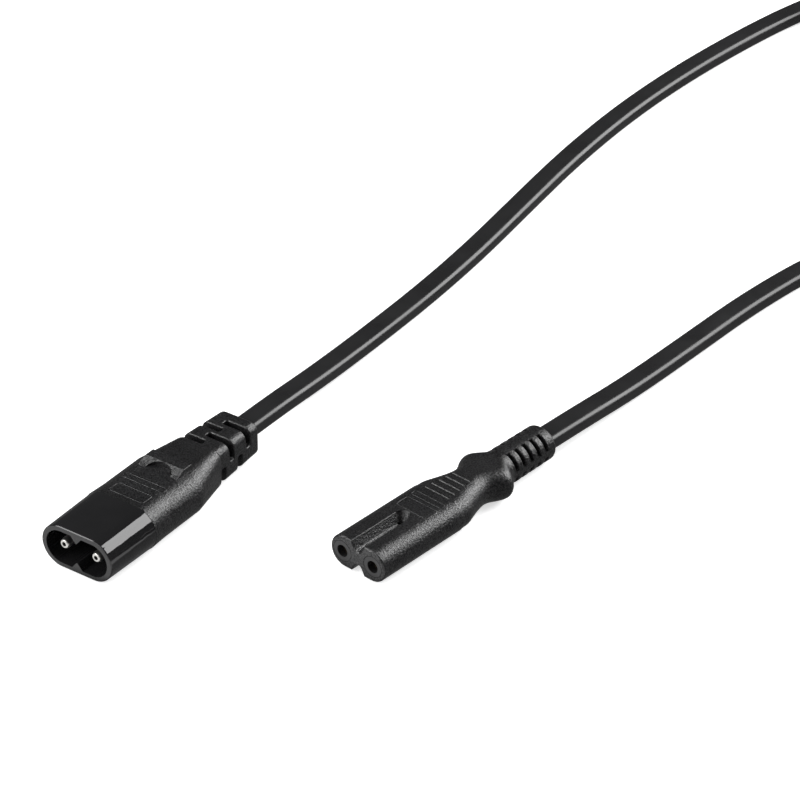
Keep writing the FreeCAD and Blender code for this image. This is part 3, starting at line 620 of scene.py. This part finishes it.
@dataclass
class SocketEnd(ConnectorEnd):
    """The figure eight socket: overmould, contact carrier, contacts and wire."""

    origin: Vector = field(default_factory=lambda: Vector(SOCKET_AT))
    turn: float = 0.0
    crimp_start: float = 18.6 * MM
    crimp_end: float = 23.6 * MM

    def build(self) -> None:
        """Makes and dresses every piece of the socket."""
        dress_solid("socket_body", "socket_overmould", SOCKET_OVERMOULD)
        dress_solid("socket_insert", "socket_carrier", CARRIER)
        for pole in Pole:
            name = pole.value
            dress_solid("socket_contact_" + name, "contact_sleeve_" + name, BRASS)
            self.wire("socket", pole, self.crimp_start, self.crimp_end)


@dataclass
class PlugEnd(ConnectorEnd):
    """The plug: overmould, glossy shroud, hollow pins and wire."""

    origin: Vector = field(default_factory=lambda: Vector(PLUG_AT))
    turn: float = PLUG_TURN
    tail_start: float = 21.8 * MM
    tail_end: float = 25.8 * MM
    pin_tip: float = 1.15 * MM
    pin_radius: float = 1.2 * MM
    tip_radius: float = 0.84 * MM
    tip_length: float = 0.9 * MM
    tip_steps: int = 6
    hole_radius: float = 0.65 * MM
    lip_radius: float = 0.52 * MM
    bore_margin: float = 0.15 * MM
    core_radius: float = 0.1 * MM
    slack: float = 1e-7

    def draw_in_tip(self, work: bmesh.types.BMesh, pole: Pole) -> None:
        """Rolls a pin's tip inwards, as drawn tube is, so that its ring is narrower than its shank.

        Args:
            work: the pin's joined mesh.
            pole: which pin it is.
        """
        heading = self.heading()
        tip = self.point(self.side(pole), self.pin_tip)
        wall = (self.pin_radius + self.hole_radius) / 2 - self.bore_margin
        for step in range(1, self.tip_steps + 1):
            cut = tip + heading * (self.tip_length * step / self.tip_steps)
            bmesh.ops.bisect_plane(work, geom=work.verts[:] + work.edges[:] + work.faces[:], plane_co=cut,
                                   plane_no=heading)
        for vertex in work.verts:
            along = (vertex.co - tip).dot(heading)
            across = vertex.co - tip - heading * along
            if along > self.tip_length - self.slack or across.length < self.core_radius:
                continue
            left = 1.0 - max(along, 0.0) / self.tip_length
            outer = self.tip_radius + (self.pin_radius - self.tip_radius) * math.sqrt(1.0 - left * left)
            inner = self.hole_radius - (self.hole_radius - self.lip_radius) * left * left
            radius = outer if across.length > wall else inner
            vertex.co = tip + heading * along + across * (radius / across.length)

    def build(self) -> None:
        """Makes and dresses every piece of the plug."""
        dress_solid("plug_body", "plug_overmould", PLUG_OVERMOULD)
        dress_solid("plug_insert", "plug_shroud", SHROUD)
        for pole in Pole:
            name = pole.value
            dress_solid("plug_pin_" + name, "hollow_pin_" + name, NICKEL,
                        form=partial(self.draw_in_tip, pole=pole))
            self.wire("plug", pole, self.tail_start, self.tail_end)


# Places in millimetres that the cord passes, on the floor where no height is given.
SOCKET_ROUTE = ((23.2, 82.0, 2.1), (22.1, 104.0), (20.8, 131.0), (22.0, 157.0), (28.5, 181.0), (34.0, 203.0),
                (34.0, 227.0))
PLUG_ROUTE = ((-31.0, 37.0, 3.1), (-34.7, 58.0), (-38.0, 81.0), (-42.4, 104.0), (-48.5, 129.0),
              (-54.5, 154.0), (-59.2, 181.0), (-61.5, 207.0), (-61.9, 232.0), (-61.0, 254.0),
              (-55.7, 266.8, 4.2), (-45.8, 276.7, 7.0), (-33.0, 282.0, 9.3), (-21.0, 282.0, 9.3))


@dataclass
class FlatCord:
    """The flat twin cord from the socket through its coil to the plug."""

    socket: SocketEnd
    plug: PlugEnd
    width: float = 6.0 * MM
    height: float = 3.6 * MM
    edge_radius: float = 1.3 * MM
    edge_steps: int = 6
    length: float = 1.5
    sheath_in_socket: float = 46.0 * MM
    straight_to_socket: float = 70.0 * MM
    sheath_in_plug: float = 44.0 * MM
    straight_to_plug: float = 67.0 * MM
    coil_middle: tuple[float, float] = (-1.0 * MM, 247.0 * MM)
    coil_outer_turn: float = 35.0 * MM
    coil_turns: float = 5.25
    coil_pitch: float = 3.9 * MM
    coil_low: float = 3.0 * MM
    coil_high: float = 9.3 * MM
    climb_turns: float = 0.5
    points_a_turn: int = 16
    points_a_span: int = 8
    twist_length: float = 45.0 * MM
    crease: float = 60.0
    coil_span: tuple[float, float] = (0.0, 0.0)

    def floor(self, x: float, y: float, z: float | None = None) -> Vector:
        """Turns a place of the route from millimetres into metres, on the floor where it has no height."""
        return Vector((x * MM, y * MM, self.height / 2 if z is None else z * MM))

    def coil_route(self) -> list[Vector]:
        """Turns of the coil: inwards on the floor, outwards on top.

        Returns:
            Control points from the lower tail to the upper one.
        """
        points = []
        count = round(self.coil_turns * self.points_a_turn)
        for step in range(count + 1):
            turns = self.coil_turns * step / count
            radius = self.coil_outer_turn - self.coil_pitch * min(turns, self.coil_turns - turns)
            share = clamped((turns - self.coil_turns / 2) / self.climb_turns + 0.5)
            lift = (1 - math.cos(math.pi * share)) / 2
            angle = 2 * math.pi * turns
            points.append(Vector((
                self.coil_middle[0] + radius * math.cos(angle),
                self.coil_middle[1] + radius * math.sin(angle),
                self.coil_low + (self.coil_high - self.coil_low) * lift)))
        return points

    def route(self) -> list[Vector]:
        """Control points of the whole cord.

        Returns:
            The points, from inside the socket through the coil to inside the plug.
        """
        return [
            self.socket.point(0, self.sheath_in_socket),
            self.socket.point(0, self.straight_to_socket),
            *(self.floor(*place) for place in SOCKET_ROUTE),
            *self.coil_route(),
            *(self.floor(*place) for place in reversed(PLUG_ROUTE)),
            self.plug.point(0, self.straight_to_plug),
            self.plug.point(0, self.sheath_in_plug),
        ]

    def centre_line(self) -> list[Vector]:
        """Points along the smooth line that the route controls.

        Returns:
            The points, from the socket to the plug.
        """
        points = self.route()
        curve = bpy.data.curves.new("cord_route", "CURVE")
        curve.dimensions = "3D"
        curve.resolution_u = self.points_a_span
        spline = curve.splines.new("NURBS")
        spline.points.add(len(points) - 1)
        for target, point in zip(spline.points, points):
            target.co = (*point, 1.0)
        spline.order_u = 3
        spline.use_endpoint_u = True
        holder = bpy.data.objects.new("cord_route", curve)
        bpy.context.scene.collection.objects.link(holder)
        line = evaluated_mesh(holder)
        result = [vertex.co.copy() for vertex in line.vertices]
        bpy.data.objects.remove(holder)
        bpy.data.meshes.remove(line)
        return result

    def section(self) -> list[tuple[float, float]]:
        """Outline of the cord: flat faces with round edges.

        Returns:
            Places along the wide and the thin axis, in order.
        """
        radius = self.edge_radius
        wide = self.width / 2 - radius
        thin = self.height / 2 - radius
        outline = []
        for quarter, (a, b) in enumerate(((wide, thin), (-wide, thin), (-wide, -thin), (wide, -thin))):
            for step in range(self.edge_steps):
                angle = math.pi / 2 * (quarter + step / (self.edge_steps - 1))
                outline.append((a + radius * math.cos(angle), b + radius * math.sin(angle)))
        return outline

    def lean(self, travelled: float, height: float) -> float:
        """How far the wide face has turned upright.

        Args:
            travelled: distance along the cord from the socket.
            height: the centre line's height there.

        Returns:
            0 where the wide face looks up, a quarter turn in the coil.
        """
        start, end = self.coil_span
        if travelled < start - 2 * self.twist_length:
            return 0.0
        if travelled <= end:
            return math.asin(clamped((height - self.height / 2) / (self.width / 2 - self.height / 2)))
        share = min((travelled - end) / self.twist_length, 1.0)
        return math.pi / 2 * (1 + math.cos(math.pi * share)) / 2

    def roll_lift(self, lean: float) -> float:
        """Height that a leaning cord gains over one with fully round edges, as it rolls on the floor."""
        return (self.height / 2 - self.edge_radius) * (math.sin(lean) + math.cos(lean) - 1)

    def distances(self, line: list[Vector]) -> list[float]:
        """Measures the line, and notes where its coil begins and ends.

        Args:
            line: the centre line.

        Returns:
            Distance from the socket's end at each point.
        """
        travelled = [0.0]
        for before, after in zip(line, line[1:]):
            travelled.append(travelled[-1] + (after - before).length)
        turns = self.coil_route()
        first, last = (min(range(len(line)), key=lambda k, end=end: (line[k] - end).length)
                       for end in (turns[0], turns[-1]))
        self.coil_span = (travelled[first], travelled[last])
        return travelled

    def ring(self, work: bmesh.types.BMesh, line: list[Vector], travelled: list[float],
             index: int) -> list[bmesh.types.BMVert]:
        """Sets the cord's outline round one point of its line.

        Args:
            work: the cord's mesh.
            line: the centre line.
            travelled: distance at each of its points.
            index: which point.

        Returns:
            The outline's vertices, in order.
        """
        along = (line[min(index + 1, len(line) - 1)] - line[max(index - 1, 0)]).normalized()
        side = along.cross(UP).normalized()
        up = side.cross(along)
        point = line[index]
        lean = self.lean(travelled[index], point.z)
        if travelled[index] <= self.coil_span[1]:
            point = point + UP * self.roll_lift(lean)
        wide = side * math.cos(lean) + up * math.sin(lean)
        thin = up * math.cos(lean) - side * math.sin(lean)
        return [work.verts.new(point + wide * a + thin * b) for a, b in self.section()]

    def skin(self, line: list[Vector], travelled: list[float]) -> bpy.types.Mesh:
        """Sweeps the cord's outline along its line.

        Args:
            line: the centre line.
            travelled: distance at each of its points.

        Returns:
            The closed mesh, with its UV map along and around the cord.
        """
        work = bmesh.new()
        uv = work.loops.layers.uv.new("UVMap")
        rings = [self.ring(work, line, travelled, index) for index in range(len(line))]
        count = len(rings[0])
        for index, (ring, following) in enumerate(zip(rings, rings[1:])):
            near, far = travelled[index], travelled[index + 1]
            for k in range(count):
                after = (k + 1) % count
                face = work.faces.new((ring[k], ring[after], following[after], following[k]))
                corners = ((k, near), (k + 1, near), (k + 1, far), (k, far))
                for loop, (around, distance) in zip(face.loops, corners):
                    loop[uv].uv = (around / count, distance)
        work.faces.new(rings[0])
        work.faces.new(reversed(rings[-1]))
        bmesh.ops.recalc_face_normals(work, faces=work.faces)
        mesh = bpy.data.meshes.new("flat_cord")
        work.to_mesh(mesh)
        work.free()
        return mesh

    def build(self) -> None:
        line = self.centre_line()
        travelled = self.distances(line)
        mesh = self.skin(line, travelled)
        shade(mesh, self.crease)
        piece = new_piece("flat_cord", mesh, SHEATH)
        rest_on_root(piece, ["cord_socket_side", "cord_plug_side", "cord_coil"])
        tuple(self.socket.point(0, 60.0 * MM))
        log.info("flat_cord: %.3f m long, coil from %.3f to %.3f m", travelled[-1], *self.coil_span)


# Studio


@dataclass(frozen=True)
class Softbox:
    """A rectangular lamp that faces the lead."""

    name: str
    toward: tuple[float, float, float]
    across: tuple[float, float, float]
    distance: float
    width: float
    height: float
    watts: float

    def hang(self, aim: Vector) -> None:
        """Hangs the lamp.

        Args:
            aim: the place that it faces.
        """
        data = bpy.data.lights.new(self.name, "AREA")
        data.shape = "RECTANGLE"
        data.size = self.width
        data.size_y = self.height
        data.energy = self.watts
        lamp = bpy.data.objects.new(self.name, data)
        back = Vector(self.toward).normalized()
        across = Vector(self.across)
        side = (across - back * across.dot(back)).normalized()
        lamp.matrix_world = Matrix.Translation(aim + back * self.distance) @ Matrix(
            (side, back.cross(side), back)).transposed().to_4x4()
        bpy.context.scene.collection.objects.link(lamp)


SOFTBOXES = (
    Softbox("side_softbox", toward=(0.57, 1.45, 1.02), across=(0.57, 0.07, -0.42), distance=1.0,
            width=0.72, height=0.90, watts=16.0),
    Softbox("front_softbox", toward=(-0.56, -0.44, 0.70), across=(0.0, 0.85, 0.53), distance=1.3,
            width=1.6, height=0.5, watts=16.0),
    Softbox("edge_softbox", toward=(-0.2, -0.88, 0.43), across=(1.0, 0.0, 0.3), distance=1.3,
            width=1.5, height=0.8, watts=11.0),
)


@dataclass
class Studio:
    """Pale floor, soft lights and the camera."""

    aim: Vector = field(default_factory=lambda: Vector((-8.9, 40.7, 4.8)) * MM)
    camera_at: Vector = field(default_factory=lambda: Vector((441.7, -459.3, 447.1)) * MM)
    lens: float = 162.0
    sensor: float = 36.0
    clip_start: float = 0.01
    clip_end: float = 60.0
    roll: float = math.radians(0.18)
    floor_radius: float = 12.0
    floor_sides: int = 96
    floor_drop: float = 0.05 * MM
    floor_colour: tuple[float, float, float, float] = (0.82, 0.82, 0.82, 1.0)
    floor_lift: float = 0.62
    # Painted reflection on the floor: the border line before both faces, its soft edge, and the dark and
    # bright levels of the glow that reflections see.
    faces_x: tuple[float, float] = (-4.0 * MM, 10.0 * MM)
    faces_y: tuple[float, float] = (-49.5 * MM, -10.5 * MM)
    painted_reflection_edge: tuple[float, float] = (-1.0 * MM, 3.0 * MM)
    painted_reflection_dark: float = 0.2
    painted_reflection_bright: float = 1.15
    world_level: float = 0.06

    def camera(self) -> None:
        """Sets the camera at the photograph's place and angle."""
        data = bpy.data.cameras.new("camera")
        data.sensor_width = self.sensor
        data.lens = self.lens
        data.clip_start = self.clip_start
        data.clip_end = self.clip_end
        camera = bpy.data.objects.new("camera", data)
        camera.rotation_mode = "QUATERNION"
        facing = (self.aim - self.camera_at).to_track_quat("-Z", "Y")
        camera.rotation_quaternion = facing @ Quaternion(UP, self.roll)
        camera.location = self.camera_at
        bpy.context.scene.collection.objects.link(camera)
        bpy.context.scene.camera = camera

    def paper(self) -> bpy.types.Material:
        """Pale studio paper that keeps the shadow, with a painted reflection: in reflections it glows bright
        before the lead's faces and dark beside and behind them.

        Returns:
            The floor's material.
        """
        material = bpy.data.materials.new("studio_paper")
        material.use_nodes = True
        material.node_tree.nodes.clear()
        graph = Graph(material.node_tree)
        sink = graph.add("ShaderNodeOutputMaterial")
        matte = graph.add("ShaderNodeBsdfDiffuse", {"Color": self.floor_colour})
        glow = graph.add("ShaderNodeEmission", {"Color": WHITE})
        seen = graph.add("ShaderNodeAddShader")
        mirrored = graph.add("ShaderNodeEmission", {"Color": WHITE})
        choice = graph.add("ShaderNodeMixShader")
        path = graph.add("ShaderNodeLightPath")
        lift = graph.calculate("MULTIPLY", path.outputs["Is Camera Ray"], self.floor_lift)
        graph.join(lift, glow.inputs["Strength"])
        # Painted reflection: glossy rays see the floor glow bright before both faces and dark beside and
        # behind the lead, with no shadow.
        graph.join(self.painted_reflection_level(graph), mirrored.inputs["Strength"])
        graph.join_all(
            (matte, 0, seen, 0),
            (glow, 0, seen, 1),
            (path, "Is Glossy Ray", choice, 0),
            (seen, 0, choice, 1),
            (mirrored, 0, choice, 2),
            (choice, 0, sink, "Surface"),
        )
        return material

    def painted_reflection_level(self, graph: Graph) -> bpy.types.NodeSocket:
        """Painted reflection: brightness of the floor's glow in reflections, high before both faces, low
        beside and behind them.

        Args:
            graph: the floor material's graph.

        Returns:
            The brightness output.
        """
        place = graph.add("ShaderNodeTexCoord")
        parts = graph.add("ShaderNodeSeparateXYZ")
        border = graph.add("ShaderNodeMapRange", {
            "From Min": self.faces_x[0], "From Max": self.faces_x[1],
            "To Min": self.faces_y[0], "To Max": self.faces_y[1]}, interpolation_type="SMOOTHSTEP")
        level = graph.add("ShaderNodeMapRange", {
            "From Min": self.painted_reflection_edge[0], "From Max": self.painted_reflection_edge[1],
            "To Min": self.painted_reflection_dark, "To Max": self.painted_reflection_bright}, interpolation_type="SMOOTHSTEP")
        graph.join_all((place, "Object", parts, 0), (parts, "X", border, "Value"))
        ahead = graph.calculate("SUBTRACT", border.outputs["Result"], parts.outputs["Y"])
        graph.join(ahead, level.inputs["Value"])
        return level.outputs["Result"]

    def floor(self) -> None:
        """Makes the floor disc."""
        work = bmesh.new()
        bmesh.ops.create_circle(work, cap_ends=True, radius=self.floor_radius, segments=self.floor_sides)
        bmesh.ops.translate(work, verts=work.verts, vec=-UP * self.floor_drop)
        mesh = bpy.data.meshes.new("studio_floor")
        work.to_mesh(mesh)
        work.free()
        mesh.materials.append(self.paper())
        floor = bpy.data.objects.new("studio_floor", mesh)
        bpy.context.scene.collection.objects.link(floor)

    def room(self) -> None:
        """Makes the room: white to the camera and dim to the lead."""
        world = bpy.data.worlds.new("studio_room")
        bpy.context.scene.world = world
        world.use_nodes = True
        graph = Graph(world.node_tree)
        background = world.node_tree.nodes["Background"]
        background.inputs["Color"].default_value = WHITE
        path = graph.add("ShaderNodeLightPath")
        level = graph.add("ShaderNodeMapRange", {"To Min": self.world_level, "To Max": 1.0})
        graph.join_all((path, "Is Camera Ray", level, "Value"), (level, "Result", background, "Strength"))

    def build(self) -> None:
        """Builds the camera, backdrop and lights."""
        self.camera()
        self.floor()
        for softbox in SOFTBOXES:
            softbox.hang(self.aim)
        self.room()
        bpy.context.scene.view_settings.view_transform = "Standard"
        log.info("studio: camera %s aims at %s", tuple(self.camera_at), tuple(self.aim))


def main() -> None:
    """Builds the studio, the cord and the two connectors in order."""
    SurfaceGroups().build()
    Studio().build()
    socket = SocketEnd()
    plug = PlugEnd()
    FlatCord(socket, plug).build()
    socket.build()
    plug.build()


if __name__ == "__main__":
    main()
